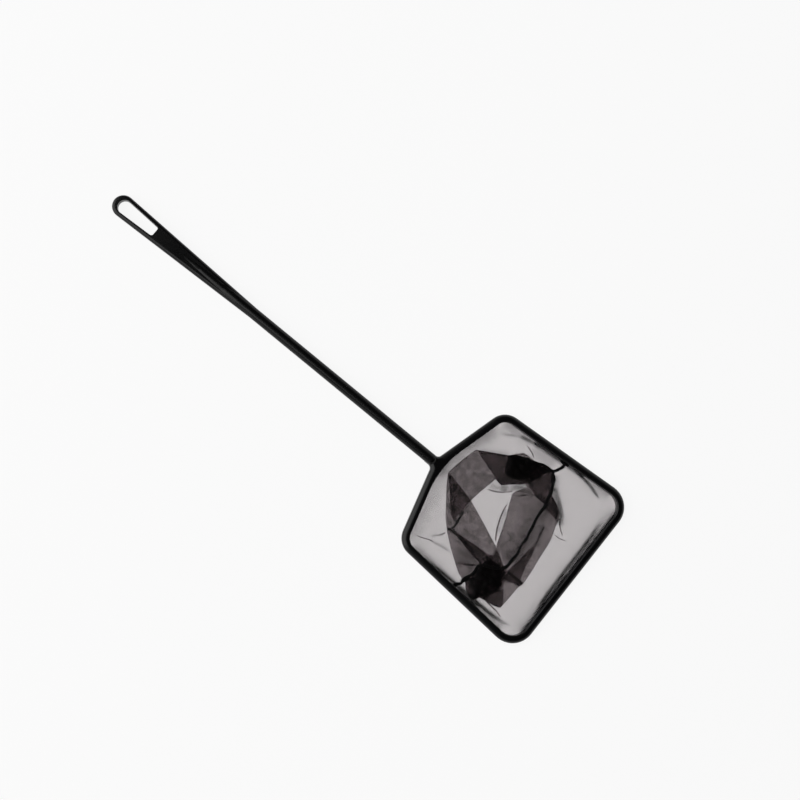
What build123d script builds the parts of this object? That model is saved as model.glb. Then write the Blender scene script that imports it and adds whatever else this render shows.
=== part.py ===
from build123d import *

import os
from math import atan2, degrees, sqrt

# Aquarium hand net lying flat, seen from above with the handle along X and the net at +X.
# The origin is under the middle of its length, on the surface that it lies on. Millimetres.

# Handle: a flat tapered grip that runs into a round rod
handle_length = 221.0
grip_length = 115.0
grip_tip_width = 12.2
grip_end_width = 5.0
grip_thickness = 4.2
grip_edge_radius = 1.8
rod_diameter = 6.2
rod_nose_start = 41.0
rod_nose_length = 44.0
rod_nose_diameter = 4.0

# Eyelet slot in the grip, wider at the tip
slot_tip_wall = 3.3
slot_length = 24.8
slot_tip_width = 7.6
slot_end_width = 5.7
slot_end_radius = 1.3
slot_edge_radius = 0.4

# Frame: five straight bars, measured over the outside from the apex where the rod meets it
frame_length = 99.0
shoulder_rise = 12.7
shoulder_width = 92.4
far_width = 104.8
shoulder_corner_radius = 10.7
far_corner_radius = 12.9
apex_inner_radius = 51.0
bar_width = 4.3
bar_height = 5.2
bar_outer_round = 2.8
bar_inner_round = 0.8
bar_foot_round = 0.4
root_length = 6.0
root_radius = 2.5
root_end_flat = 0.2

# Net clamp under the frame: a ring in a rebate, with a tongue that holds the hem in a groove
skirt_wall = 1.1
ring_clearance = 0.1
ring_height = 1.4
ring_foot_round = 0.4
tongue_setback = 1.1
tongue_width = 0.8
tongue_height = 1.2
hem_thickness = 0.3

# Collapsed mesh bag: one layer of net across the mouth, with the pocket folded flat on it
net_thickness = 0.3
pleat_layers = 2
tuck_layers = 2
bunch_height = 1.5
bunch_crown = 0.45

# Sewn seam between the two panels of the bag
seam_width = 1.2
seam_depth = 0.3
seam_height = 1.4
seam_bend = 2.0
seam_overrun = 1.0
stitch_pitch = 2.5
stitch_width = 0.4
stitch_height = 0.2

# Places along X and Z that follow from those sizes
overall_length = handle_length + frame_length
tip_x = -overall_length / 2
apex_x = tip_x + handle_length
shoulder_x = apex_x + shoulder_rise
far_x = apex_x + frame_length
rod_radius = rod_diameter / 2
rod_axis_z = rod_radius
grip_floor_z = rod_axis_z - grip_thickness / 2
root_x = apex_x + shoulder_rise * rod_diameter / shoulder_width
side_slope = (far_width - shoulder_width) / 2 / (frame_length - shoulder_rise)

# Clamp sizes, as growth outwards from the mouth, and heights
ring_width = bar_width - skirt_wall - ring_clearance
rebate_width = ring_width + ring_clearance
rebate_depth = ring_height + hem_thickness
tongue_inner = tongue_setback
tongue_outer = tongue_setback + tongue_width
groove_inner = tongue_inner - hem_thickness
groove_outer = tongue_outer + hem_thickness
tongue_top_z = ring_height + tongue_height
groove_top_z = tongue_top_z + hem_thickness
net_top_z = ring_height + net_thickness
pleat_top_z = net_top_z + pleat_layers * net_thickness
tuck_top_z = pleat_top_z + tuck_layers * net_thickness
seam_floor_z = ring_height - seam_depth
seam_top_z = seam_floor_z + seam_height


def in_frame(points):
    """Points given as distance past the frame's apex and sideways from the handle's axis."""
    return [(apex_x + along, across) for along, across in points]


def mouth_half_width(along):
    """Half the clear width between the side bars at a distance past the apex."""
    outer = shoulder_width / 2 + side_slope * (along - shoulder_rise)
    return outer - bar_width * sqrt(1 + side_slope**2)


def mouth_outline(growth=0.0):
    """Clear opening inside the bars, grown outwards under them."""
    with BuildSketch() as outline:
        with BuildLine():
            Polyline(
                (apex_x, 0),
                (shoulder_x, shoulder_width / 2),
                (far_x, far_width / 2),
                (far_x, -far_width / 2),
                (shoulder_x, -shoulder_width / 2),
                close=True,
            )
        make_face()
        offset(amount=-bar_width, kind=Kind.INTERSECTION)
        fillet(vertices().group_by(Axis.X)[-1], radius=far_corner_radius - bar_width)
        fillet(vertices().group_by(Axis.X)[1], radius=shoulder_corner_radius - bar_width)
        fillet(vertices().group_by(Axis.X)[0], radius=apex_inner_radius)
        if growth:
            offset(amount=growth)
    return outline.sketch


def clamp_loop(inner, outer):
    """Closed band under the bars, between two growths of the mouth."""
    with BuildSketch() as band:
        add(mouth_outline(outer))
        add(mouth_outline(inner), mode=Mode.SUBTRACT)
    return band.sketch


def polygon(points):
    """Straight-sided patch of folded net."""
    with BuildSketch() as patch:
        with BuildLine():
            Polyline(*in_frame(points), close=True)
        make_face()
    return patch.sketch


def raised(sketch, height):
    """A sketch moved up to a height."""
    return sketch.moved(Location((0, 0, height)))


mouth = mouth_outline()
rebate = mouth_outline(rebate_width)
ring_band = clamp_loop(0, ring_width)
tongue_band = raised(clamp_loop(tongue_inner, tongue_outer), ring_height)
hem_flange = raised(clamp_loop(0, tongue_inner), ring_height)
hem_inner_leg = raised(clamp_loop(groove_inner, tongue_inner), ring_height)
hem_outer_leg = raised(clamp_loop(tongue_outer, groove_outer), ring_height)
hem_crown = raised(clamp_loop(groove_inner, groove_outer), tongue_top_z)
groove_band = raised(clamp_loop(groove_inner, groove_outer), rebate_depth)

# Moulded frame with the root of the rod, then the clamp's rebate and groove from below
with BuildPart() as handle_and_frame:
    with BuildSketch():
        with BuildLine():
            Polyline(
                (apex_x - root_length, rod_radius),
                (root_x, rod_radius),
                (shoulder_x, shoulder_width / 2),
                (far_x, far_width / 2),
                (far_x, -far_width / 2),
                (shoulder_x, -shoulder_width / 2),
                (root_x, -rod_radius),
                (apex_x - root_length, -rod_radius),
                close=True,
            )
        make_face()
        fillet(vertices().group_by(Axis.X)[-1], radius=far_corner_radius)
        fillet(vertices().group_by(Axis.X)[2], radius=shoulder_corner_radius)
        fillet(vertices().group_by(Axis.X)[1], radius=root_radius)
        fillet(vertices().group_by(Axis.X)[0], radius=rod_radius - root_end_flat / 2)
        add(mouth, mode=Mode.SUBTRACT)
    extrude(amount=bar_height)
    top = faces().sort_by(Axis.Z)[-1]
    foot = faces().sort_by(Axis.Z)[0]
    outer_top = top.outer_wire().edges()
    inner_top = top.inner_wires()[0].edges()
    outer_foot = foot.outer_wire().edges()
    fillet(outer_top, radius=bar_outer_round)
    fillet(inner_top, radius=bar_inner_round)
    fillet(outer_foot, radius=bar_foot_round)
    extrude(rebate, amount=rebate_depth, mode=Mode.SUBTRACT)
    extrude(groove_band, amount=groove_top_z - rebate_depth, mode=Mode.SUBTRACT)

    # Grip, a flat paddle with rounded edges
    with BuildSketch(Plane.XY.offset(grip_floor_z)):
        with Locations((tip_x + grip_tip_width / 2, 0)):
            Circle(grip_tip_width / 2)
        with Locations((tip_x + grip_length - grip_end_width / 2, 0)):
            Circle(grip_end_width / 2)
        make_hull()
    extrude(amount=grip_thickness)
    grip_edges = edges(Select.LAST).filter_by(Plane.XY)
    fillet(grip_edges, radius=grip_edge_radius)

    # Eyelet slot right through the grip
    slot_start = tip_x + slot_tip_wall
    slot_corner_y = slot_end_width / 2 - slot_end_radius
    with BuildSketch(Plane.XY.offset(grip_floor_z)):
        with Locations((slot_start + slot_tip_width / 2, 0)):
            Circle(slot_tip_width / 2)
        with Locations(
            (slot_start + slot_length - slot_end_radius, slot_corner_y),
            (slot_start + slot_length - slot_end_radius, -slot_corner_y),
        ):
            Circle(slot_end_radius)
        make_hull()
    extrude(amount=grip_thickness, mode=Mode.SUBTRACT)
    fillet(edges(Select.LAST).filter_by(Plane.XY), radius=slot_edge_radius)

    # Rod, rising out of the flat grip on a long pointed nose and ending round inside the frame's apex
    with BuildSketch(Plane.XZ):
        nose_x = tip_x + rod_nose_start
        rod_end_x = apex_x - rod_radius / 2
        with BuildLine():
            Polyline(
                (rod_end_x + rod_radius, rod_axis_z),
                (nose_x, rod_axis_z),
                (nose_x, rod_axis_z + rod_nose_diameter / 2),
                (nose_x + rod_nose_length, rod_axis_z + rod_radius),
                (rod_end_x, rod_axis_z + rod_radius),
            )
            CenterArc((rod_end_x, rod_axis_z), rod_radius, start_angle=0, arc_size=90)
        make_face()
    revolve(axis=Axis((0, 0, rod_axis_z), (1, 0, 0)))
handle_and_frame.part.label = "handle_and_frame"

# Ring that closes the clamp from below
with BuildPart() as retaining_ring:
    extrude(ring_band, amount=ring_height)
    fillet(faces().sort_by(Axis.Z)[0].edges(), radius=ring_foot_round)
    extrude(tongue_band, amount=tongue_height)
retaining_ring.part.label = "retaining_ring"

# Hem, from the mouth's edge over the tongue and down its far side
with BuildPart() as net_hem:
    extrude(hem_flange, amount=hem_thickness)
    extrude(hem_inner_leg, amount=tongue_height)
    extrude(hem_outer_leg, amount=tongue_height)
    extrude(hem_crown, amount=hem_thickness)
net_hem.part.label = "net_hem"

# Seam route, from the upper side bar round the bottom of the bag to the lower side bar
seam_upper_station = 55.5
seam_lower_station = 51.5
seam_points = in_frame(
    [
        (seam_upper_station, mouth_half_width(seam_upper_station) + seam_overrun),
        (55.5, 40.0),
        (53.0, 36.5),
        (58.5, 30.5),
        (62.0, 20.0),
        (65.5, 0.0),
        (67.0, -17.5),
        (62.0, -24.0),
        (56.0, -27.0),
        (54.5, -33.0),
        (53.0, -40.0),
        (seam_lower_station, -mouth_half_width(seam_lower_station) - seam_overrun),
    ]
)
with BuildSketch() as seam_strip:
    with BuildLine() as seam_route:
        FilletPolyline(*seam_points, radius=seam_bend)
    trace(line_width=seam_width)
    add(mouth, mode=Mode.INTERSECT)

# The two panels meet along the seam
behind = apex_x - shoulder_rise
with BuildSketch() as handle_half:
    with BuildLine():
        add(seam_route.line)
        Polyline(seam_points[-1], (behind, -far_width), (behind, far_width), seam_points[0])
    make_face()
    add(mouth, mode=Mode.INTERSECT)
with BuildSketch() as far_half:
    add(mouth)
    add(handle_half.sketch, mode=Mode.SUBTRACT)
    add(seam_strip.sketch, mode=Mode.SUBTRACT)
with BuildSketch() as near_half:
    add(handle_half.sketch)
    add(seam_strip.sketch, mode=Mode.SUBTRACT)

# Pocket of the bag, folded flat: its outline, the single-layer window in it, and the tucks on top of it
pocket = polygon(
    [
        (10.5, 0.5), (14.0, 19.0), (30.0, 29.5), (40.0, 35.0), (53.0, 37.0), (60.0, 31.5), (71.0, 21.0),
        (76.0, 8.0), (78.0, -2.0), (79.3, -20.0), (78.0, -38.0), (64.0, -43.0), (53.0, -39.5), (30.0, -24.0),
    ]
)
window = polygon([(31.5, 13.5), (37.0, 13.0), (46.0, 14.5), (56.0, -14.0), (29.0, -3.0)])
upper_tuck = polygon([(14.5, 18.5), (30.0, 29.0), (49.0, 33.5), (53.0, 25.0), (37.0, 13.2), (31.5, 14.0)])
lower_tuck = polygon([(10.5, 0.5), (29.0, -3.0), (29.5, -19.0), (30.0, -24.0)])
long_tuck = polygon([(29.5, -20.5), (58.0, -20.0), (58.0, -25.0), (30.0, -23.0)])
corner_tuck = polygon([(54.0, -28.0), (57.0, -20.0), (70.0, -20.0), (72.0, -36.0), (64.0, -43.0), (54.0, -38.0)])


def folded_panel(half, tucks, bunch_at, bunch_size, bunch_turn):
    """Half of the bag: a layer of net, its pleats, the tucks on them and the bunched corner of the pocket."""
    with BuildPart() as panel:
        extrude(raised(pocket - window, net_top_z), amount=pleat_top_z - net_top_z)
        for tuck in tucks:
            extrude(raised(tuck, pleat_top_z), amount=tuck_top_z - pleat_top_z)
        for height, share in ((net_top_z, 1.0), (tuck_top_z + bunch_height, bunch_crown)):
            with BuildSketch(Plane.XY.offset(height)):
                with Locations(*in_frame([bunch_at])):
                    Ellipse(bunch_size[0] * share, bunch_size[1] * share, rotation=bunch_turn)
        loft()
        extrude(raised(half, net_top_z), amount=bar_height - net_top_z, mode=Mode.INTERSECT)
        extrude(raised(half, ring_height), amount=net_thickness)
    return panel


net_panel_handle_side = folded_panel(
    near_half.sketch, [upper_tuck, lower_tuck, long_tuck], (42.0, 28.5), (11.5, 5.5), 15
)
net_panel_handle_side.part.label = "net_panel_handle_side"
net_panel_far_side = folded_panel(far_half.sketch, [corner_tuck], (62.5, -29.5), (9.5, 8.5), 0)
net_panel_far_side.part.label = "net_panel_far_side"

# Rolled edges of the two panels
with BuildPart() as bag_seam:
    extrude(raised(seam_strip.sketch, seam_floor_z), amount=seam_height)
bag_seam.part.label = "bag_seam"

# Overlock stitches across the top of the seam
with BuildPart() as seam_stitching:
    route = seam_route.wire()
    stitch_count = int((route.length - 2 * seam_overrun) / stitch_pitch)
    for stitch in range(1, stitch_count):
        share = (seam_overrun + stitch * stitch_pitch) / route.length
        place = route @ share
        heading = route % share
        turn = degrees(atan2(heading.Y, heading.X))
        with Locations(Location((place.X, place.Y, seam_top_z), (0, 0, turn))):
            Box(stitch_width, seam_width, stitch_height, align=(Align.CENTER, Align.CENTER, Align.MIN))
seam_stitching.part.label = "seam_stitching"

os.makedirs("parts", exist_ok=True)
export_step(handle_and_frame.part, "parts/handle_and_frame.step")
export_step(retaining_ring.part, "parts/retaining_ring.step")
export_step(net_hem.part, "parts/net_hem.step")
export_step(net_panel_handle_side.part, "parts/net_panel_handle_side.step")
export_step(net_panel_far_side.part, "parts/net_panel_far_side.step")
export_step(bag_seam.part, "parts/bag_seam.step")
export_step(seam_stitching.part, "parts/seam_stitching.step")
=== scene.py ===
import math

import bmesh
import bpy
import numpy as np
from mathutils import Matrix, Vector, noise


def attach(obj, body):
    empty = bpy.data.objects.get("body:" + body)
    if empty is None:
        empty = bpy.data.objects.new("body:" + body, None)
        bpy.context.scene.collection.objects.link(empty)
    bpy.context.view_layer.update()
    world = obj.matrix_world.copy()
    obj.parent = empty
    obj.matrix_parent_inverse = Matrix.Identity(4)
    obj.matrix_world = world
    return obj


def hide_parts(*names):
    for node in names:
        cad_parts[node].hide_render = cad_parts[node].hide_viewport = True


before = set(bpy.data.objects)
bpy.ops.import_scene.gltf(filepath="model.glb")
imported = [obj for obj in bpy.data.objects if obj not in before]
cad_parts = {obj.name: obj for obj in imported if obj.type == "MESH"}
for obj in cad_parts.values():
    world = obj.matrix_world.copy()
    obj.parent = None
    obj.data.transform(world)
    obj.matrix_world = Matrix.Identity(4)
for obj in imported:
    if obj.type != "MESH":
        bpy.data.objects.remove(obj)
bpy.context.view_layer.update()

# A fixed seed folds the cloth the same way in every run
cloth_seed = 4
noise.seed_set(cloth_seed)

# The net's lengths are in millimetres, in the part's own frame: X along the handle, Z up out of the mouth
MM = 0.001

# Outside corners of the five-sided frame, and the bars that the cloth runs under.
# Each corner of the mouth has an inner radius, and half of its turn in degrees
frame_corners = [(61.0, 0.0), (73.7, -46.2), (160.0, -52.4), (160.0, 52.4), (73.7, 46.2)]
bar_width = 4.3
mouth_corners = {"apex": (51.0, 15.4), "shoulder": (6.4, 35.2), "far": (8.6, 42.9)}
corner_segments = 10
clamp_reach = 0.9
hem_height = 1.55

# Hem under the bars: how far out from the mouth, and how high
hem_profile = [(0.05, hem_height), (0.95, hem_height), (0.95, 2.75), (2.05, 2.75), (2.05, 1.6)]

# Folded bag: a lattice of small cells, and the thickness that each layer of net takes up
cell = 0.5
layer_gap = 0.3
bag_floor = 0.6
lowest_cloth = 0.18
highest_cloth = 4.7
weld_distance = 0.02
smoothing_passes = 5

# Directions of the threads, in radians, so far apart that no two layers beat into blotches
leaf_turns = {"skirt": 0.15, "bottom": 0.67, "wall": 1.2}
tuck_turns = (0.35, 0.87)
tuck_turn_step = 0.04
tuck_turn_steps = 4

# Slack cloth rises and falls in long and short waves: length, height, and place in the noise
slack_waves = [(17, 0.22, 3.1), (6, 0.1, 7.7)]

# Outer fold of the collapsed pocket
pocket_edge = [
    (71.0, 0.4), (71.9, 7.0), (73.2, 13.0), (75.0, 19.6), (83.0, 24.2), (91.0, 28.7), (94.6, 33.0),
    (96.0, 34.9), (99.5, 35.3), (103.5, 35.3), (107.5, 36.2), (111.0, 37.2), (114.9, 37.2),
    (118.2, 34.3), (119.8, 31.2), (122.2, 27.0), (125.0, 25.8), (127.7, 24.6), (130.1, 23.3),
    (132.6, 21.2), (134.2, 18.0), (134.9, 14.7), (136.0, 11.6), (137.1, 8.6), (137.7, 5.0),
    (138.1, 1.0), (138.5, -3.0), (139.0, -7.0), (139.7, -11.0), (140.0, -16.0), (140.3, -20.6),
    (139.2, -23.6), (139.2, -28.0), (139.0, -32.5), (138.5, -38.2), (135.0, -39.5), (130.0, -40.1),
    (126.4, -41.0), (125.3, -42.6), (124.6, -44.2), (123.0, -44.3), (121.4, -43.9), (119.0, -42.8),
    (117.0, -41.4), (115.6, -39.8), (113.4, -39.4), (108.8, -37.6), (104.8, -35.0), (98.0, -30.4),
    (91.0, -24.9), (85.2, -19.2), (79.9, -12.2), (74.8, -5.6),
]

# Inner fold, round the one place where the net lies in a single layer
window_edge = [
    (93.3, 13.7), (97.6, 13.1), (101.0, 16.4), (104.3, 19.2), (107.6, 21.8), (109.4, 21.4),
    (107.0, 17.6), (105.2, 13.8), (107.5, 8.2), (110.4, 2.0), (113.0, -5.0), (116.1, -14.0),
    (107.0, -10.2), (98.0, -6.5), (90.2, -3.3), (90.8, 1.5), (92.0, 7.0),
]

# Cloth tucked in between the pocket's layers, from the lowest pair of leaves to the highest
tucks = [
    # Upper corner next to the handle, and the lower one
    [(74.0, 20.2), (92.6, 14.5), (97.5, 13.2), (101.0, 16.6), (104.2, 19.4), (108.4, 23.2),
     (111.8, 30.0), (113.0, 41.0), (107.0, 41.0), (105.4, 35.2), (101.0, 34.0), (97.0, 32.6),
     (93.8, 30.8), (91.4, 31.6), (70.0, 24.0)],
    [(70.0, 1.2), (90.1, -3.2), (90.0, -10.0), (89.7, -13.4), (90.0, -18.0), (86.2, -16.1),
     (83.2, -12.7), (80.2, -9.3), (76.0, -4.6), (71.2, -0.2)],
    # Both sides of the seam at its upper end
    [(108.6, 24.0), (111.0, 21.8), (115.0, 20.9), (118.0, 20.4), (122.4, 20.2), (121.8, 26.0),
     (119.6, 31.2), (117.0, 36.0), (114.0, 41.0), (110.0, 41.0)],
    [(121.4, 28.0), (123.0, 19.6), (126.6, 18.3), (130.4, 18.0), (133.0, 16.4), (132.2, 20.2),
     (131.0, 24.4), (126.0, 28.0)],
    # Folds that run into the lower bunch
    [(115.4, -36.0), (117.5, -35.6), (120.0, -38.4), (124.6, -40.0), (125.6, -42.6), (125.0, -47.0),
     (117.0, -47.0), (113.0, -41.0)],
    [(130.6, -32.2), (134.3, -29.4), (136.2, -32.2), (138.0, -35.4), (141.0, -38.5), (141.0, -44.0),
     (126.5, -44.0), (127.4, -39.0), (129.2, -35.0)],
    [(132.6, 0.2), (134.3, -5.0), (135.2, -12.0), (136.6, -15.6), (137.8, -19.8), (142.0, -20.0),
     (142.0, -22.4), (136.5, -23.2), (133.6, -24.6), (131.0, -24.4), (129.3, -19.8), (130.0, -15.0),
     (130.6, -9.6), (131.0, -4.0)],
    # Upper bunch and lower bunch, each folded over itself three times
    [(90.0, 28.6), (92.0, 25.2), (93.6, 21.0), (95.4, 18.8), (98.2, 19.4), (101.2, 20.4), (104.2, 21.8),
     (107.4, 23.4), (109.4, 26.0), (110.8, 28.8), (110.2, 32.0), (110.6, 34.6), (111.4, 40.0),
     (106.0, 40.0), (104.4, 34.8), (99.6, 33.4), (96.2, 32.0), (93.6, 30.4), (91.6, 31.4)],
    [(114.6, -28.8), (114.5, -26.4), (106.0, -25.4), (100.7, -24.0), (95.9, -23.0), (91.8, -22.2),
     (100.4, -21.1), (106.0, -20.6), (116.1, -19.9), (118.4, -18.2), (115.6, -14.0), (120.9, -16.7),
     (123.1, -17.8), (127.0, -19.8), (130.6, -22.0), (132.2, -26.6), (132.8, -31.6), (130.4, -35.6),
     (129.4, -38.6), (127.0, -40.6), (125.6, -47.0), (122.2, -47.0), (120.6, -40.6), (117.8, -38.8),
     (115.0, -34.6)],
    [(90.4, 28.8), (92.6, 25.6), (94.2, 21.2), (97.0, 19.6), (101.2, 20.8), (104.4, 22.8),
     (106.6, 25.0), (108.6, 27.6), (108.6, 31.4), (107.6, 34.2), (108.0, 40.0), (105.6, 40.0),
     (103.6, 34.6), (98.8, 33.2), (95.2, 31.2), (93.0, 29.8), (91.4, 31.0)],
    [(115.0, -29.0), (116.4, -25.6), (117.2, -21.6), (123.0, -20.9), (128.0, -21.4), (130.6, -25.0),
     (131.6, -30.4), (129.6, -34.6), (128.4, -38.0), (125.8, -40.0), (125.2, -47.0), (123.6, -47.0),
     (121.8, -40.0), (119.0, -38.0), (115.8, -33.6)],
    [(91.0, 28.6), (94.0, 25.2), (96.0, 21.8), (101.0, 22.2), (104.6, 25.0), (106.8, 28.2),
     (106.2, 32.4), (106.0, 36.0), (106.2, 40.0), (105.6, 40.0), (103.2, 34.0), (98.4, 32.6),
     (94.4, 30.4), (92.8, 29.4), (91.6, 31.0)],
    [(115.8, -28.8), (117.2, -24.6), (121.0, -21.8), (127.2, -23.0), (129.6, -27.4), (129.4, -33.0),
     (127.0, -37.6), (125.0, -40.0), (124.8, -47.0), (124.4, -47.0), (122.4, -39.4), (119.6, -37.0),
     (116.8, -32.4)],
]

# How pleats are pressed: cloth drawn in beside them, faded ends, and the rim of the mouth left flat
pleat_margin = 1.2
pleat_draw = 2.6
pleat_fade = 0.12
flat_rim = 0.4
rim_fade = 1.2
least_turn = 0.3
turn_share = 0.45
snap_share = 0.52
first_lift = 0.1

# Pleats pressed into single leaves: leaf, widths at start and end, and the line that they follow
pleats = [
    ("bottom", 0.9, 1.0, [
        (106.5, 8.8), (107.1, 4.0), (108.5, -1.0), (110.5, -6.0), (112.6, -9.6), (115.4, -13.6)]),
    ("bottom", 0.8, 0.9, [(92.6, 6.4), (98.5, 9.2), (101.0, 11.0), (103.2, 13.2), (105.4, 15.4)]),
    ("skirt", 0.9, 0.7, [(109.0, 15.4), (111.1, 17.3), (112.9, 18.9), (114.4, 20.4)]),
    ("skirt", 0.9, 1.2, [(104.8, -34.6), (109.5, -31.3), (114.6, -28.3)]),
    ("skirt", 0.6, 0.8, [(106.8, -35.4), (109.5, -33.4), (113.6, -30.4)]),
    ("skirt", 0.9, 0.7, [(133.0, 20.4), (136.2, 16.5), (138.4, 14.5), (141.2, 13.2)]),
    ("skirt", 0.6, 0.5, [(136.9, 10.9), (140.0, 10.9), (142.4, 11.5), (144.6, 12.7)]),
    ("skirt", 1.0, 1.6, [(127.0, -20.4), (134.0, -20.8), (140.8, -20.6)]),
    ("skirt", 0.7, 0.6, [(79.4, -36.6), (83.1, -35.2), (85.5, -34.1), (89.0, -33.2)]),
    ("skirt", 0.7, 0.9, [(95.0, 39.0), (98.8, 38.0), (100.6, 37.1), (102.4, 35.6)]),
    ("skirt", 0.7, 0.5, [(90.2, -25.2), (89.2, -27.8), (87.4, -29.9)]),
    ("skirt", 1.0, 0.7, [(128.8, -40.0), (134.0, -40.4), (138.0, -40.8), (142.4, -41.8)]),
]

# Where threads crowd together, or open out, without a fold, and painted shade beside the bars.
# Each has its leaf, reach, strength, faded share of the length, and line
crowded_and_shaded_lines = [
    # Along the shoulder bars: painted shade of the bars, over cloth gathered at the hem
    ("skirt", 4.5, 0.7, 0.0, [(66.5, 0.0), (70.0, 17.0), (74.0, 31.0)]),
    ("skirt", 6.0, 0.35, 0.0, [(66.5, -2.0), (70.0, -17.0), (75.5, -36.0)]),
    # Along the upper side bar: wrinkles, and broad bands of painted shade beside the bar
    ("skirt", 3.4, 0.55, 0.1, [(77.0, 41.0), (86.0, 42.6), (97.0, 43.4)]),
    ("skirt", 0.7, 0.5, 0.3, [(79.0, 34.5), (84.0, 37.4), (89.0, 40.2)]),
    ("skirt", 0.9, 1.0, 0.2, [
        (88.0, 40.2), (91.0, 41.0), (94.0, 41.7), (97.2, 42.3), (99.9, 42.9), (102.4, 44.0)]),
    ("skirt", 1.5, 1.7, 0.05, [
        (96.5, 43.4), (104.0, 43.9), (112.0, 44.5), (120.0, 45.1), (131.0, 45.9)]),
    ("skirt", 4.0, 0.35, 0.1, [(98.0, 39.8), (106.0, 40.2), (114.0, 40.8)]),
    ("skirt", 0.8, 1.3, 0.2, [
        (124.0, 45.4), (131.0, 44.6), (136.0, 43.9), (140.0, 42.8), (145.0, 41.2)]),
    ("skirt", 3.4, 0.6, 0.1, [(130.0, 46.4), (140.0, 47.1), (148.0, 47.6)]),
    # Along the far bar: a wrinkle, and broad bands of painted shade beside the bar
    ("skirt", 4.6, 0.5, 0.05, [(156.0, 44.0), (156.0, -44.0)]),
    ("skirt", 1.3, 1.3, 0.05, [(156.0, 44.0), (156.0, -44.0)]),
    ("skirt", 1.0, 1.3, 0.15, [
        (152.3, 34.0), (153.2, 24.0), (153.5, 12.0), (153.5, 0.0), (153.7, -12.0), (154.2, -22.0),
        (155.0, -30.0)]),
    # Along the lower side bar: a wrinkle, and broad bands of painted shade beside the bar
    ("skirt", 2.8, 0.75, 0.05, [(80.0, -42.2), (105.0, -44.0), (125.0, -45.4), (147.0, -47.0)]),
    ("skirt", 0.8, 1.5, 0.2, [
        (89.0, -42.6), (97.0, -43.1), (104.0, -43.1), (118.0, -43.6), (130.0, -43.9), (139.0, -43.9),
        (145.0, -43.0), (150.0, -41.8)]),
    ("skirt", 2.2, 1.3, 0.25, [(113.0, -44.2), (121.0, -45.0), (130.0, -45.6)]),
    # Faint ends of folds in the lower part of the skirt
    ("skirt", 0.7, 0.6, 0.3, [(86.0, -34.0), (90.0, -33.0), (95.0, -32.2), (101.0, -31.6)]),
    ("skirt", 0.8, 0.5, 0.3, [(90.4, -24.6), (89.2, -27.8), (86.8, -30.4), (83.6, -32.4)]),
    # Round the pocket and along the seam
    ("skirt", 1.0, 0.3, 0.1, [(77.0, 21.4), (84.0, 25.6), (91.0, 29.6)]),
    ("skirt", 2.0, 0.9, 0.1, [
        (120.6, 31.4), (123.2, 27.8), (128.0, 25.0), (133.0, 20.8), (136.2, 16.0)]),
    ("skirt", 1.1, 0.6, 0.2, [
        (121.6, 31.8), (124.8, 28.8), (129.0, 25.6), (133.8, 21.2), (138.4, 16.4)]),
    ("skirt", 2.2, 0.8, 0.1, [(117.0, 36.4), (119.6, 32.0), (121.6, 28.2)]),
    ("skirt", 6.0, 0.8, 0.1, [
        (121.6, 24.0), (123.5, 18.0), (123.7, 12.8), (124.9, 6.5), (125.9, 1.1), (126.4, -3.0),
        (126.6, -6.4), (127.4, -10.5), (127.4, -18.0)]),
    ("wall", 0.7, 1.4, 0.15, [(129.9, 12.4), (130.6, 7.0), (131.6, 4.2), (132.2, 0.6), (132.8, -4.0)]),
    ("wall", 0.6, 1.6, 0.08, [
        (90.3, -10.6), (91.3, -13.6), (91.8, -17.0), (91.9, -19.8), (91.2, -22.0), (90.2, -24.8)]),
    ("wall", 0.9, 1.1, 0.1, [(91.4, -22.2), (97.0, -22.4), (104.0, -22.9)]),
    ("wall", 2.2, 0.4, 0.1, [(99.0, -22.6), (108.0, -23.2), (117.0, -23.2)]),
    # Soft dark edges of the two bunches
    ("skirt", 2.4, 0.7, 0.1, [
        (94.6, 20.4), (96.6, 18.2), (101.5, 20.2), (106.5, 23.4), (110.6, 27.0), (111.4, 32.0)]),
    ("skirt", 5.0, 1.0, 0.0, [
        (119.0, -25.4), (125.0, -27.0), (124.0, -35.4), (119.0, -33.0), (119.0, -25.4)]),
    ("skirt", 2.8, 0.45, 0.1, [(102.0, -27.0), (108.0, -28.0), (113.0, -28.8)]),
    # In and beside the single layer
    ("bottom", 1.8, 0.45, 0.1, [(92.4, 9.6), (96.8, 11.2), (101.6, 14.2)]),
    ("skirt", 0.6, 1.2, 0.2, [(105.0, 15.0), (109.0, 18.4), (113.6, 21.6)]),
    ("skirt", 0.6, 1.2, 0.2, [(107.4, 14.2), (111.1, 17.3), (114.4, 20.2), (117.6, 22.2)]),
    ("bottom", 1.6, 0.35, 0.1, [(108.4, 6.0), (110.4, -1.0), (113.2, -8.0)]),
    ("skirt", 0.8, 0.5, 0.3, [(117.4, 0.0), (122.0, -0.7), (126.0, -0.9)]),
    ("bottom", 2.0, 0.5, 0.1, [(98.0, 11.8), (102.5, 15.0), (108.6, 21.4)]),
    ("bottom", 1.8, 0.5, 0.0, [(105.0, 17.6), (109.4, 21.6)]),
    ("skirt", 1.4, -0.3, 0.0, [(107.6, 16.4), (111.6, 20.6)]),
    ("skirt", 1.6, -0.2, 0.1, [(137.0, -4.0), (138.0, -12.0), (138.8, -19.0)]),
    ("skirt", 2.6, -0.25, 0.0, [(135.0, -26.0), (137.0, -29.0)]),
]

# Limits of the crowding and painted shade, how many reaches it spreads over, and a ripple in it
least_crowding_and_shade = -0.35
most_crowding_and_shade = 1.8
crowding_and_shade_span = 2.5
ripple_pace = 0.35
ripple_depth = 0.12

# Patches of uneven threads in the crushed wall: size and depth
uneven_patches = [(2.2, 0.7), (1.2, 0.35)]

# Two bunched corners of the pocket, crushed into small folds: pace in waves per millimetre, and sway
bunch_centres = [(101.5, 28.0), (123.4, -29.4)]
bunch_reach = 9.0
bunch_height = 1.2
bunch_waves = [(0.4, 0.7), (1.0, 0.25)]
bunch_lift = 0.35
full_lift_height = 1.5
faintest_crush = 0.02

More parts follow.
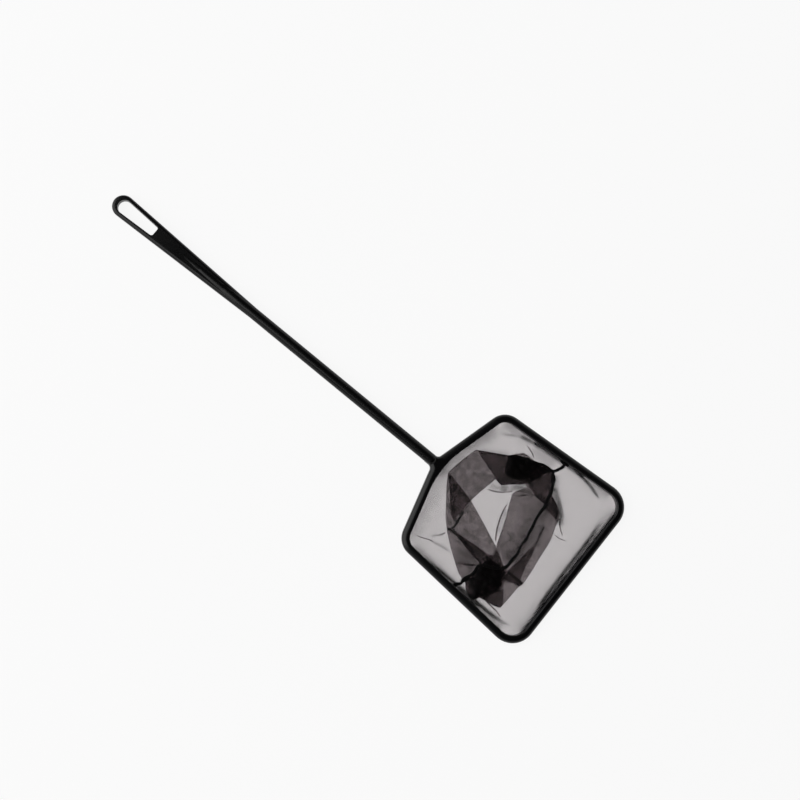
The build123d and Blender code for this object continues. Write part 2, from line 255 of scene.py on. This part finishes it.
# Seam between the two panels, from the upper side bar, round the pocket, to the lower one
seam_line = [
    (117.8, 46.4, 1.7), (117.7, 43.6, 1.8), (117.2, 40.0, 1.8), (114.6, 36.9, 2.1), (118.2, 34.2, 2.0),
    (120.2, 29.6, 1.9), (121.8, 26.6, 1.9), (121.9, 22.6, 1.8), (123.8, 19.6, 1.8), (123.3, 16.2, 1.7),
    (123.8, 11.4, 1.7), (124.6, 8.6, 1.7), (125.2, 5.2, 1.7), (125.5, 2.6, 1.7), (126.6, -1.2, 1.7),
    (126.2, -4.8, 1.7), (127.2, -8.2, 1.7), (127.9, -11.2, 1.7), (127.1, -13.6, 1.8),
    (127.6, -17.0, 2.0), (126.6, -20.8, 2.6), (122.4, -23.8, 3.6), (117.8, -25.6, 3.0),
    (114.4, -28.6, 2.1), (115.8, -31.8, 2.0), (115.0, -35.0, 2.0), (113.1, -38.8, 1.9),
    (114.2, -41.2, 1.8), (111.4, -43.2, 1.8), (111.5, -45.8, 1.7),
]
seam_branches = [
    [(114.9, 36.9, 2.1), (111.6, 36.7, 2.3), (108.6, 36.4, 2.5), (104.4, 34.2, 2.9), (99.8, 33.2, 2.8),
     (96.0, 31.5, 2.4), (91.6, 29.0, 2.0), (92.4, 27.6, 1.9)],
    [(114.8, 36.8, 2.1), (112.2, 34.9, 2.2), (109.6, 34.1, 2.6), (106.6, 32.8, 3.2)],
    [(117.6, -35.6, 2.4), (115.8, -37.0, 2.1), (113.6, -39.0, 1.9)],
    [(119.2, 44.8, 1.9), (117.8, 44.3, 2.4), (116.2, 44.0, 2.6), (114.6, 44.2, 1.9)],
]

# The seam's thickness, the waves that bend it, and its beads and lumps
seam_width = 1.6
seam_waves = [(0.7, 0.4), (2.0, 0.14)]
bead_depth = 0.22
lump_depth = 0.6
lump_pace = 3.3
seam_weld = 0.01

# Overlock thread round the seam
wrap_pitch = 1.7
wrap_steps = 8
wrap_radius = 0.84
wrap_thread = 0.34
thread_weld = 0.001

# How far past the frame the half of the bag next to the handle is marked out
beyond_frame = 60.0
before_frame = 50.0


def linear(hex_colour):
    """sRGB hex colour as linear red, green, blue and alpha."""
    parts = [int(hex_colour[k:k + 2], 16) / 255 for k in (1, 3, 5)]
    return [p / 12.92 if p <= 0.04045 else ((p + 0.055) / 1.055) ** 2.4 for p in parts] + [1.0]


def add_node(tree, kind, settings=None, **inputs):
    """Node with its settings. Inputs, by name or counted as _0, _1, get a value or a link to a socket."""
    node = tree.nodes.new(kind)
    for name, value in (settings or {}).items():
        setattr(node, name, value)
    for name, value in inputs.items():
        key = int(name[1:]) if name[1:].isdigit() else name.replace("_", " ")
        if isinstance(value, bpy.types.NodeSocket):
            tree.links.new(value, node.inputs[key])
        else:
            node.inputs[key].default_value = value
    return node


def new_material(name):
    """Empty node material and its output node."""
    material = bpy.data.materials.new(name)
    material.use_nodes = True
    material.node_tree.nodes.clear()
    return material, material.node_tree, material.node_tree.nodes.new("ShaderNodeOutputMaterial")


def moulded_abs():
    """Black ABS, injection moulded in a spark-eroded mould."""
    # To the eye it is near-black, with a satin gloss that its fine grain breaks up a little.
    # The 0.12 mm grain is too fine to show, so it is drawn at 0.5 mm
    grain_size = 0.5 * MM
    cloud_size = 14 * MM
    material, tree, output = new_material("moulded_black_abs")
    place = add_node(tree, "ShaderNodeTexCoord").outputs["Object"]
    grain = add_node(tree, "ShaderNodeTexNoise", Vector=place, Scale=1 / grain_size, Detail=2.0)
    cloud = add_node(tree, "ShaderNodeTexNoise", Vector=place, Scale=1 / cloud_size, Detail=3.0)
    gloss = add_node(tree, "ShaderNodeMapRange", Value=cloud.outputs["Fac"], To_Min=0.24, To_Max=0.33)
    bump = add_node(
        tree, "ShaderNodeBump", Strength=0.08, Distance=0.03 * MM, Height=grain.outputs["Fac"])
    shade = add_node(tree, "ShaderNodeValToRGB", Fac=cloud.outputs["Fac"])
    shade.color_ramp.elements[0].color = linear("#050506")
    shade.color_ramp.elements[1].color = linear("#0a0a0b")
    surface = add_node(
        tree, "ShaderNodeBsdfPrincipled", Base_Color=shade.outputs["Color"],
        Roughness=gloss.outputs["Result"], IOR=1.53, Specular_IOR_Level=0.22,
        Normal=bump.outputs["Normal"])
    tree.links.new(surface.outputs["BSDF"], output.inputs["Surface"])
    return material


def nylon_mesh():
    """Black nylon monofilament, dyed, and knitted into an open square mesh."""
    # To the eye it is matt, and from any distance a warm grey veil that darkens with each layer.
    # Fine net has about 2.6 threads to the millimetre, drawn at their real size
    thread_pitch = 0.38
    thread_width = 0.113
    half_cover = thread_width / thread_pitch / 2
    material, tree, output = new_material("knitted_black_nylon")
    place = add_node(tree, "ShaderNodeUVMap", {"uv_map": "flat_cloth"}).outputs["UV"]
    axes = add_node(tree, "ShaderNodeSeparateXYZ", Vector=place)
    # Thread width grows with this attribute: wrinkles and gathers in the cloth, and painted shade beside
    # the bars
    crowding_and_shade = add_node(tree, "ShaderNodeAttribute", {"attribute_name": "crowding_and_shade"}).outputs["Fac"]
    reach = add_node(
        tree, "ShaderNodeMath", {"operation": "MULTIPLY_ADD"}, _0=crowding_and_shade, _1=half_cover, _2=half_cover)
    threads = []
    for axis in ("X", "Y"):
        run = add_node(
            tree, "ShaderNodeMath", {"operation": "MULTIPLY"}, _0=axes.outputs[axis], _1=1 / thread_pitch)
        wave = add_node(
            tree, "ShaderNodeMath", {"operation": "PINGPONG"}, _0=run.outputs["Value"], _1=0.5)
        threads.append(wave.outputs["Value"])
    nearest = add_node(tree, "ShaderNodeMath", {"operation": "MINIMUM"}, _0=threads[0], _1=threads[1])
    cover = add_node(
        tree, "ShaderNodeMath", {"operation": "LESS_THAN"}, _0=nearest.outputs["Value"],
        _1=reach.outputs["Value"])
    thread = add_node(
        tree, "ShaderNodeBsdfPrincipled", Base_Color=linear("#040303"), Roughness=0.6, IOR=1.53,
        Specular_IOR_Level=0.06)
    # Light that passes between the threads is warmed a little by their dyed edges
    hole = add_node(tree, "ShaderNodeBsdfTransparent", Color=linear("#fffafb"))
    surface = add_node(
        tree, "ShaderNodeMixShader", _0=cover.outputs["Value"], _1=hole.outputs["BSDF"],
        _2=thread.outputs["BSDF"])
    tree.links.new(surface.outputs["Shader"], output.inputs["Surface"])
    return material


def sewing_thread():
    """Black spun polyester, twisted into sewing thread."""
    # To the eye its fibres are matt, with a faint sheen and a visible twist
    twist_pitch = 0.35 * MM
    material, tree, output = new_material("spun_black_polyester")
    place = add_node(tree, "ShaderNodeTexCoord").outputs["Object"]
    fibre = add_node(tree, "ShaderNodeTexNoise", Vector=place, Scale=1 / twist_pitch, Detail=3.0)
    bump = add_node(tree, "ShaderNodeBump", Strength=0.5, Distance=0.1 * MM, Height=fibre.outputs["Fac"])
    shade = add_node(tree, "ShaderNodeValToRGB", Fac=fibre.outputs["Fac"])
    shade.color_ramp.elements[0].color = linear("#030303")
    shade.color_ramp.elements[1].color = linear("#080707")
    surface = add_node(
        tree, "ShaderNodeBsdfPrincipled", Base_Color=shade.outputs["Color"], Roughness=0.8, IOR=1.5,
        Specular_IOR_Level=0.1, Normal=bump.outputs["Normal"])
    tree.links.new(surface.outputs["BSDF"], output.inputs["Surface"])
    return material


def studio_floor():
    """White uncoated paper, rolled out under the net and up behind it."""
    # To the eye it is white, and a little darker where the net shades it
    lit_share = 0.1
    material, tree, output = new_material("white_paper")
    rays = add_node(tree, "ShaderNodeLightPath")
    seen = add_node(
        tree, "ShaderNodeMath", {"operation": "MAXIMUM"}, _0=rays.outputs["Is Camera Ray"],
        _1=rays.outputs["Is Glossy Ray"])
    seen = add_node(
        tree, "ShaderNodeMath", {"operation": "MAXIMUM"}, _0=seen.outputs["Value"],
        _1=rays.outputs["Is Transmission Ray"])
    share = add_node(
        tree, "ShaderNodeMath", {"operation": "MULTIPLY"}, _0=seen.outputs["Value"], _1=1 - lit_share)
    paper = add_node(tree, "ShaderNodeBsdfDiffuse", Color=linear("#fafafa"))
    glow = add_node(tree, "ShaderNodeEmission", Color=linear("#ffffff"), Strength=1.0)
    mix = add_node(
        tree, "ShaderNodeMixShader", _0=share.outputs["Value"], _1=paper.outputs["BSDF"],
        _2=glow.outputs["Emission"])
    tree.links.new(mix.outputs["Shader"], output.inputs["Surface"])
    return material


def inside(spots, outline):
    """True for each spot that lies inside a closed outline."""
    hits = np.zeros(len(spots), bool)
    x, y = spots[:, 0], spots[:, 1]
    for (ax, ay), (bx, by) in zip(outline, outline[1:] + outline[:1]):
        if ay != by:
            hits ^= ((ay > y) != (by > y)) & (x < (bx - ax) * (y - ay) / (by - ay) + ax)
    return hits


def nearest_on(spots, line):
    """For each spot: nearest point of a line, distance, signed side, and share of the length passed."""
    line = np.array(line, float)
    runs = line[1:] - line[:-1]
    lengths = np.hypot(runs[:, 0], runs[:, 1])
    passed = np.concatenate([[0.0], np.cumsum(lengths)])
    offset = spots[:, None, :] - line[None, :-1, :]
    share = np.clip((offset * runs).sum(2) / lengths ** 2, 0, 1)
    gap = offset - share[:, :, None] * runs
    distance = np.hypot(gap[:, :, 0], gap[:, :, 1])
    pick = distance.argmin(1)
    rows = np.arange(len(spots))
    point = line[pick] + share[rows, pick, None] * runs[pick]
    side = np.sign(runs[pick, 0] * offset[rows, pick, 1] - runs[pick, 1] * offset[rows, pick, 0])
    along = (passed[pick] + share[rows, pick] * lengths[pick]) / passed[-1]
    return point, distance[rows, pick], side, along


def closed(outline):
    """Outline with its first point again at the end."""
    return outline + outline[:1]


def mouth_outline(growth):
    """Line of the mouth inside the bars, moved out under them by growth, with rounded corners."""
    shape = bmesh.new()
    corners = [shape.verts.new((x, y, 0)) for x, y in frame_corners]
    mouth = shape.faces.new(corners)
    mouth.normal_update()
    bmesh.ops.inset_region(
        shape, faces=[mouth], thickness=bar_width - growth, use_boundary=True, use_even_offset=True)
    bmesh.ops.delete(shape, geom=[f for f in shape.faces if f is not mouth], context="FACES")
    apex, shoulder_1, far_1, far_2, shoulder_2 = mouth.verts
    rounded = {"apex": [apex], "shoulder": [shoulder_1, shoulder_2], "far": [far_1, far_2]}
    for name, verts in rounded.items():
        radius, half_turn = mouth_corners[name]
        setback = (radius + growth) * math.tan(math.radians(half_turn))
        bmesh.ops.bevel(
            shape, geom=verts, offset=setback, affect="VERTICES", segments=corner_segments, profile=0.5,
            material=-1)
    outline = [(v.co.x, v.co.y) for v in list(shape.faces)[0].verts]
    shape.free()
    return outline


def in_pocket(spots):
    """True for each spot inside the pocket's outer fold."""
    return inside(spots, pocket_edge)


def in_window(spots):
    """True for each spot inside the pocket's inner fold."""
    return inside(spots, window_edge)


def cut_leaf(bag, covers, folds, box, turn):
    """One leaf of the folded bag: lattice cells inside what it covers, with its rim drawn onto the folds.

    Gives {lattice place: [vertex, number of the fold that it lies on, or None]}.
    """
    (low_x, low_y), (high_x, high_y) = box
    columns = math.ceil((high_x - low_x) / cell)
    rows = math.ceil((high_y - low_y) / cell)
    low = Vector((math.floor(low_x / cell) * cell, math.floor(low_y / cell) * cell, 0))
    half = Vector((columns * cell / 2, rows * cell / 2, 1))
    place = Matrix.Translation(low + Vector((half.x, half.y, 0))) @ Matrix.Diagonal(half).to_4x4()
    verts = bmesh.ops.create_grid(bag, x_segments=columns, y_segments=rows, size=1, matrix=place)["verts"]
    kept = covers(np.array([v.co[:2] for v in verts]))
    inner = [v for v, keep in zip(verts, kept) if keep]
    bmesh.ops.delete(bag, geom=[v for v, keep in zip(verts, kept) if not keep], context="VERTS")
    bmesh.ops.delete(bag, geom=[v for v in inner if not v.link_faces], context="VERTS")
    inner = [v for v in inner if v.is_valid]
    flat = bag.loops.layers.uv["flat_cloth"]
    angle = Matrix.Rotation(turn, 2)
    for face in {f for v in inner for f in v.link_faces}:
        for loop in face.loops:
            loop[flat].uv = angle @ loop.vert.co.xy
    leaf = {(round(v.co.x / cell), round(v.co.y / cell)): [v, None] for v in inner}
    rim = [entry for entry in leaf.values() if entry[0].is_boundary]
    spots = np.array([entry[0].co[:2] for entry in rim])
    found = [nearest_on(spots, closed(fold)) for fold in folds]
    for k, entry in enumerate(rim):
        number = min(range(len(folds)), key=lambda n: found[n][1][k])
        entry[1] = number
        entry[0].co.xy = found[number][0][k]
    return leaf


def box_of(*outlines):
    """Lowest and highest corners of the overlap of some outlines."""
    lows = [np.min(outline, axis=0) for outline in outlines]
    highs = [np.max(outline, axis=0) for outline in outlines]
    return np.max(lows, axis=0), np.min(highs, axis=0)


def undulation(x, y):
    """Slow rise and fall of slack cloth."""
    return sum(
        height * noise.noise(Vector((x / length, y / length, layer)))
        for length, height, layer in slack_waves)


def sway(place, waves):
    """Shift of crushed cloth at a place, from waves given as pace and size."""
    return sum((noise.noise_vector(place * pace) * size for pace, size in waves), Vector())


def fold_bag():
    """Whole bag as one welded mesh in millimetres: skirt in from the frame, wall, bottom and tucks."""
    bag = bmesh.new()
    bag.loops.layers.uv.new("flat_cloth")
    bag.verts.layers.float.new("crowding_and_shade")
    mouth = mouth_outline(clamp_reach)
    leaves = {
        "bottom": cut_leaf(bag, in_pocket, [pocket_edge], box_of(pocket_edge), leaf_turns["bottom"]),
        "wall": cut_leaf(
            bag, lambda spots: in_pocket(spots) & ~in_window(spots), [pocket_edge, window_edge],
            box_of(pocket_edge), leaf_turns["wall"]),
        "skirt": cut_leaf(
            bag, lambda spots: inside(spots, mouth) & ~in_window(spots), [mouth, window_edge],
            box_of(mouth), leaf_turns["skirt"]),
    }
    pairs = []
    for number, tuck in enumerate(tucks):
        extra_turn = tuck_turn_step * (number % tuck_turn_steps)
        pair = [
            cut_leaf(
                bag, lambda spots: in_pocket(spots) & inside(spots, tuck), [pocket_edge, tuck],
                box_of(pocket_edge, tuck), turn + extra_turn)
            for turn in tuck_turns]
        pairs.append(pair)

    # Levels count layers up from the bottom, and two leaves that meet at a fold share a half level
    below = {}
    for lower, upper in pairs:
        for place in lower:
            tucked = below.get(place, 0)
            for leaf, level, pocket_level in ((lower, 1, 0.5), (upper, 2, 2.5)):
                vert, fold = leaf[place]
                level = {None: level, 0: pocket_level, 1: 1.5}[fold] + 2 * tucked
                vert.co.z = bag_floor + layer_gap * level
            below[place] = tucked + 1
    for vert, fold in leaves["bottom"].values():
        vert.co.z = bag_floor + layer_gap * (0 if fold is None else 0.5)
    for place, (vert, fold) in leaves["wall"].items():
        level = {None: 1, 0: 0.5, 1: 1.5}[fold] + 2 * below.get(place, 0)
        vert.co.z = bag_floor + layer_gap * level
    for place, (vert, fold) in leaves["skirt"].items():
        level = {None: 2, 0: 2, 1: 1.5}[fold] + 2 * below.get(place, 0)
        vert.co.z = hem_height if fold == 0 else bag_floor + layer_gap * level

    held = [vert for vert, fold in leaves["skirt"].values() if fold == 0]
    groups = {name: [vert for vert, fold in leaf.values()] for name, leaf in leaves.items()}
    bmesh.ops.remove_doubles(bag, verts=bag.verts, dist=weld_distance)
    held = {v for v in held if v.is_valid}
    loose = [v for v in bag.verts if v not in held]
    for _ in range(smoothing_passes):
        bmesh.ops.smooth_vert(
            bag, verts=loose, factor=0.5, use_axis_x=False, use_axis_y=False, use_axis_z=True)
    groups = {name: [v for v in verts if v.is_valid and v not in held] for name, verts in groups.items()}
    return bag, groups, loose, mouth


def press_pleat(verts, mouth, start_width, end_width, line):
    """Folds a leaf forwards, back and forwards again along a line, three layers over the pleat's width."""
    spots = np.array([v.co[:2] for v in verts])
    point, distance, side, along = nearest_on(spots, line)
    rim_gap = nearest_on(spots, closed(mouth))[1]
    width = start_width + (end_width - start_width) * along
    reach = pleat_margin + pleat_draw * width
    ends = np.clip(np.minimum(along, 1 - along) / pleat_fade, 0, 1)
    strength = np.clip((rim_gap - flat_rim) / rim_fade, 0, 1) * ends
    for k in np.flatnonzero((distance < reach) & (strength > 0) & (distance > 1e-6)):
        turn = max(least_turn, turn_share * width[k])
        across = side[k] * distance[k]
        knots = [-reach[k], -turn, turn, reach[k]]

        # Cells next to a fold line are drawn onto it, which keeps the fold straight
        fold = min((-turn, turn), key=lambda t: abs(t - across))
        drawn = fold if abs(fold - across) < snap_share * cell else across
        moved = np.interp(drawn, knots, [-reach[k], width[k] / 2, -width[k] / 2, reach[k]])
        lift = np.interp(drawn, knots, [0, first_lift, 2 * layer_gap, 0])
        shift = strength[k] * (moved - across) * side[k] / distance[k]
        verts[k].co.x += shift * (spots[k, 0] - point[k, 0])
        verts[k].co.y += shift * (spots[k, 1] - point[k, 1])
        verts[k].co.z += strength[k] * lift


def crowd_threads_and_paint_shade(bag, verts, reach, strength, taper, line):
    """Draws the threads of a leaf together near a line, or apart where the strength is below zero; the
    broad bands beside the bars are painted shade.
    """
    crowding_and_shade = bag.verts.layers.float["crowding_and_shade"]
    _, distance, _, along = nearest_on(np.array([v.co[:2] for v in verts]), line)
    ends = np.clip(np.minimum(along, 1 - along) / taper, 0, 1) if taper else np.ones(len(verts))
    for k in np.flatnonzero((distance < crowding_and_shade_span * reach) & (ends > 0)):
        ripple = 1 + ripple_depth * noise.noise(verts[k].co * ripple_pace)
        change = strength * ends[k] * ripple * math.exp(-(distance[k] / reach) ** 2)
        verts[k][crowding_and_shade] = min(most_crowding_and_shade, max(least_crowding_and_shade, verts[k][crowding_and_shade] + change))


def wear_unevenly(bag, verts):
    """Leaves the threads of a crushed leaf a little uneven, in patches a few threads wide."""
    crowding_and_shade = bag.verts.layers.float["crowding_and_shade"]
    for v in verts:
        patches = sum(depth * noise.noise(v.co / size) for size, depth in uneven_patches)
        v[crowding_and_shade] = max(least_crowding_and_shade, patches)


def crumple(verts, centre):
    """Crushes the cloth round one corner of the pocket into small sharp folds."""
    for v in verts:
        distance = math.hypot(v.co.x - centre[0], v.co.y - centre[1])
        strength = math.exp(-(distance / bunch_reach) ** 2)
        if strength > faintest_crush:
            shift = sway(v.co, bunch_waves)
            v.co.x += strength * shift.x
            v.co.y += strength * shift.y
            rise = min(1.0, v.co.z / full_lift_height)
            v.co.z += strength * bunch_height * (bunch_lift + shift.z) * rise


def new_piece(name, mesh_source, material, node):
    """Object at the origin from a bmesh in millimetres, riding the part and standing for a CAD node."""
    mesh = bpy.data.meshes.new(name)
    bmesh.ops.scale(mesh_source, vec=(MM, MM, MM), verts=mesh_source.verts)
    mesh_source.to_mesh(mesh)
    mesh_source.free()
    mesh.materials.append(material)
    mesh.polygons.foreach_set("use_smooth", [True] * len(mesh.polygons))
    piece = bpy.data.objects.new(name, mesh)
    bpy.context.scene.collection.objects.link(piece)
    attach(piece, "root")
    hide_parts(node)
    return piece


def smooth_route(points, thickness=0.0, sides=2, radii=None):
    """Mesh of a smooth line through a route in millimetres, as a bare line or as a round strand."""
    curve = bpy.data.curves.new("route", "CURVE")
    curve.dimensions = "3D"
    curve.resolution_u = 12
    curve.bevel_depth = thickness / 2
    curve.bevel_resolution = sides
    curve.use_fill_caps = True
    spline = curve.splines.new("NURBS")
    spline.points.add(len(points) - 1)
    for k, point in enumerate(points):
        spline.points[k].co = (*point, 1)
        spline.points[k].radius = radii[k] if radii else 1.0
    spline.order_u = 3
    spline.use_endpoint_u = True
    holder = bpy.data.objects.new("route", curve)
    bpy.context.scene.collection.objects.link(holder)
    bpy.context.view_layer.update()
    mesh = bpy.data.meshes.new_from_object(holder.evaluated_get(bpy.context.evaluated_depsgraph_get()))
    bpy.data.objects.remove(holder)
    return mesh


def lumpy_radii(count):
    """Relative thickness along a seam: beads from stitch to stitch, and uneven lumps of cloth."""
    beads = [1 + bead_depth * (-1) ** k for k in range(count)]
    lumps = [lump_depth * noise.noise(Vector((lump_pace * k, 0.5, 0.5))) for k in range(count)]
    return [bead + lump for bead, lump in zip(beads, lumps)]


abs_black = moulded_abs()
net_black = nylon_mesh()
thread_black = sewing_thread()

for name in ("handle_and_frame", "retaining_ring"):
    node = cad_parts[name]
    node.data.materials.clear()
    node.data.materials.append(abs_black)

# Folded bag, then its crowded threads and painted shade, its pleats and its two crumpled corners
bag, leaves, loose, mouth = fold_bag()
wear_unevenly(bag, leaves["wall"])
for leaf, reach, strength, taper, line in crowded_and_shaded_lines:
    crowd_threads_and_paint_shade(bag, leaves[leaf], reach, strength, taper, line)
for leaf, start_width, end_width, line in pleats:
    press_pleat(leaves[leaf], mouth, start_width, end_width, line)
for centre in bunch_centres:
    crumple(loose, centre)
for v in loose:
    v.co.z = min(highest_cloth, max(lowest_cloth, v.co.z + undulation(v.co.x, v.co.y)))

# The seam parts the bag into the panel at the handle and the panel at the far bar
seam_plan = [(x, y) for x, y, z in seam_line]
handle_half = seam_plan + [
    (seam_plan[-1][0], -beyond_frame), (before_frame, -beyond_frame), (before_frame, beyond_frame),
    (seam_plan[0][0], beyond_frame),
]
bag.faces.ensure_lookup_table()
centres = np.array([f.calc_center_median()[:2] for f in bag.faces])
at_handle = inside(centres, handle_half)
for side, mine in (("handle_side", at_handle), ("far_side", ~at_handle)):
    half = bag.copy()
    half.faces.ensure_lookup_table()
    bmesh.ops.delete(half, geom=[half.faces[k] for k in np.flatnonzero(~mine)], context="FACES")
    new_piece("mesh_" + side, half, net_black, "net_panel_" + side)
bag.free()

# Hem: the doubled edge of the bag over the tongue of the ring, as a strip that follows the mouth
hem = bmesh.new()
hem.loops.layers.uv.new("flat_cloth")
hem_loops = []
for growth, height in hem_profile:
    ring = [hem.verts.new((x, y, height)) for x, y in mouth_outline(growth)]
    edges = [hem.edges.new((a, b)) for a, b in zip(ring, ring[1:] + ring[:1])]
    hem_loops.append(edges)
for first, second in zip(hem_loops, hem_loops[1:]):
    bmesh.ops.bridge_loops(hem, edges=first + second)
bmesh.ops.recalc_face_normals(hem, faces=hem.faces)
hem_piece = new_piece("mesh_hem", hem, net_black, "net_hem")

# Seam: the rolled edges of both panels, lumpy where the cloth bunches in it
seam = bmesh.new()
for route in [seam_line] + seam_branches:
    seam.from_mesh(smooth_route(route, seam_width, 3, lumpy_radii(len(route))))
for v in seam.verts:
    v.co += sway(v.co, seam_waves)
bmesh.ops.remove_doubles(seam, verts=seam.verts, dist=seam_weld)
seam_piece = new_piece("rolled_seam", seam, thread_black, "bag_seam")

# Overlock thread: wraps round the rolled edge
stitching = bmesh.new()
for route in [seam_line] + seam_branches[:2]:
    path = [v.co.copy() for v in smooth_route(route).vertices]
    wraps = []
    travelled = 0.0
    for a, b in zip(path, path[1:]):
        run = b - a
        pieces = max(1, round(run.length / (wrap_pitch / wrap_steps)))
        across = Vector((-run.y, run.x, 0)).normalized()
        for k in range(pieces):
            angle = 2 * math.pi * travelled / wrap_pitch
            centre = a + run * (k / pieces)
            spoke = across * math.cos(angle) + Vector((0, 0, 1)) * math.sin(angle)
            wraps.append(centre + wrap_radius * spoke)
            travelled += run.length / pieces
    stitching.from_mesh(smooth_route(wraps, wrap_thread, 1))
bmesh.ops.remove_doubles(stitching, verts=stitching.verts, dist=thread_weld)
stitch_piece = new_piece("overlock_thread", stitching, thread_black, "seam_stitching")

# Paper just under the net, turned up at its rim into a backdrop, with sizes in metres
floor_half_size = 6.0
backdrop_height = 2.2
floor_drop = 0.2 * MM
floor_mesh = bpy.data.meshes.new("floor")
floor_shape = bmesh.new()
bmesh.ops.create_grid(floor_shape, x_segments=1, y_segments=1, size=floor_half_size)
rim = bmesh.ops.extrude_edge_only(floor_shape, edges=floor_shape.edges)["geom"]
rim_verts = [part for part in rim if isinstance(part, bmesh.types.BMVert)]
bmesh.ops.translate(floor_shape, vec=(0, 0, backdrop_height), verts=rim_verts)
floor_shape.to_mesh(floor_mesh)
floor_shape.free()
floor_mesh.materials.append(studio_floor())
floor = bpy.data.objects.new("floor", floor_mesh)
floor.location.z = -floor_drop
bpy.context.scene.collection.objects.link(floor)

# The picture's own directions on the floor, and two softboxes placed along them, in metres and watts
camera_turn = math.radians(39.34)
view_centre = Vector((26.18, 13.91, 4.0)) * MM
image_right = Vector((math.cos(camera_turn), math.sin(camera_turn), 0))
image_up = Vector((-math.sin(camera_turn), math.cos(camera_turn), 0))


def add_softbox(name, right, up, height, size, power):
    """Square softbox at a place given in the picture's own directions, aimed at the net."""
    light = bpy.data.lights.new(name, "AREA")
    light.shape = "SQUARE"
    light.size = size
    light.energy = power
    lamp = bpy.data.objects.new(name, light)
    lamp.location = view_centre + image_right * right + image_up * up + Vector((0, 0, height))
    lamp.rotation_euler = (view_centre - lamp.location).to_track_quat("-Z", "Y").to_euler()
    bpy.context.scene.collection.objects.link(lamp)


add_softbox("softbox_left", right=-1.5, up=0.1, height=1.0, size=2.4, power=44)
add_softbox("softbox_right", right=1.1, up=0.6, height=0.6, size=1.0, power=1.5)

# World: a dim fill from above
world = bpy.data.worlds.new("studio")
world.use_nodes = True
sky = world.node_tree
sky.nodes.clear()
fill = add_node(sky, "ShaderNodeBackground", Color=linear("#bfbfbf"), Strength=0.06)
add_node(sky, "ShaderNodeOutputWorld", Surface=fill.outputs["Background"])
bpy.context.scene.world = world

# Camera nearly straight above the net, leaning a little to the handle's lower side
camera_distance = 650 * MM
lean_across = math.radians(6.14)
lean_along = math.radians(-0.65)
camera_data = bpy.data.cameras.new("camera")
camera_data.lens = 54.41
camera_data.sensor_width = 36.0
camera = bpy.data.objects.new("camera", camera_data)
lean = Matrix.Rotation(lean_along, 4, "Y") @ Matrix.Rotation(lean_across, 4, "X")
aim = lean @ Matrix.Rotation(camera_turn, 4, "Z")
camera.matrix_world = Matrix.Translation(view_centre) @ aim @ Matrix.Translation((0, 0, camera_distance))
bpy.context.scene.collection.objects.link(camera)
bpy.context.scene.camera = camera
bpy.context.scene.view_settings.view_transform = "Standard"
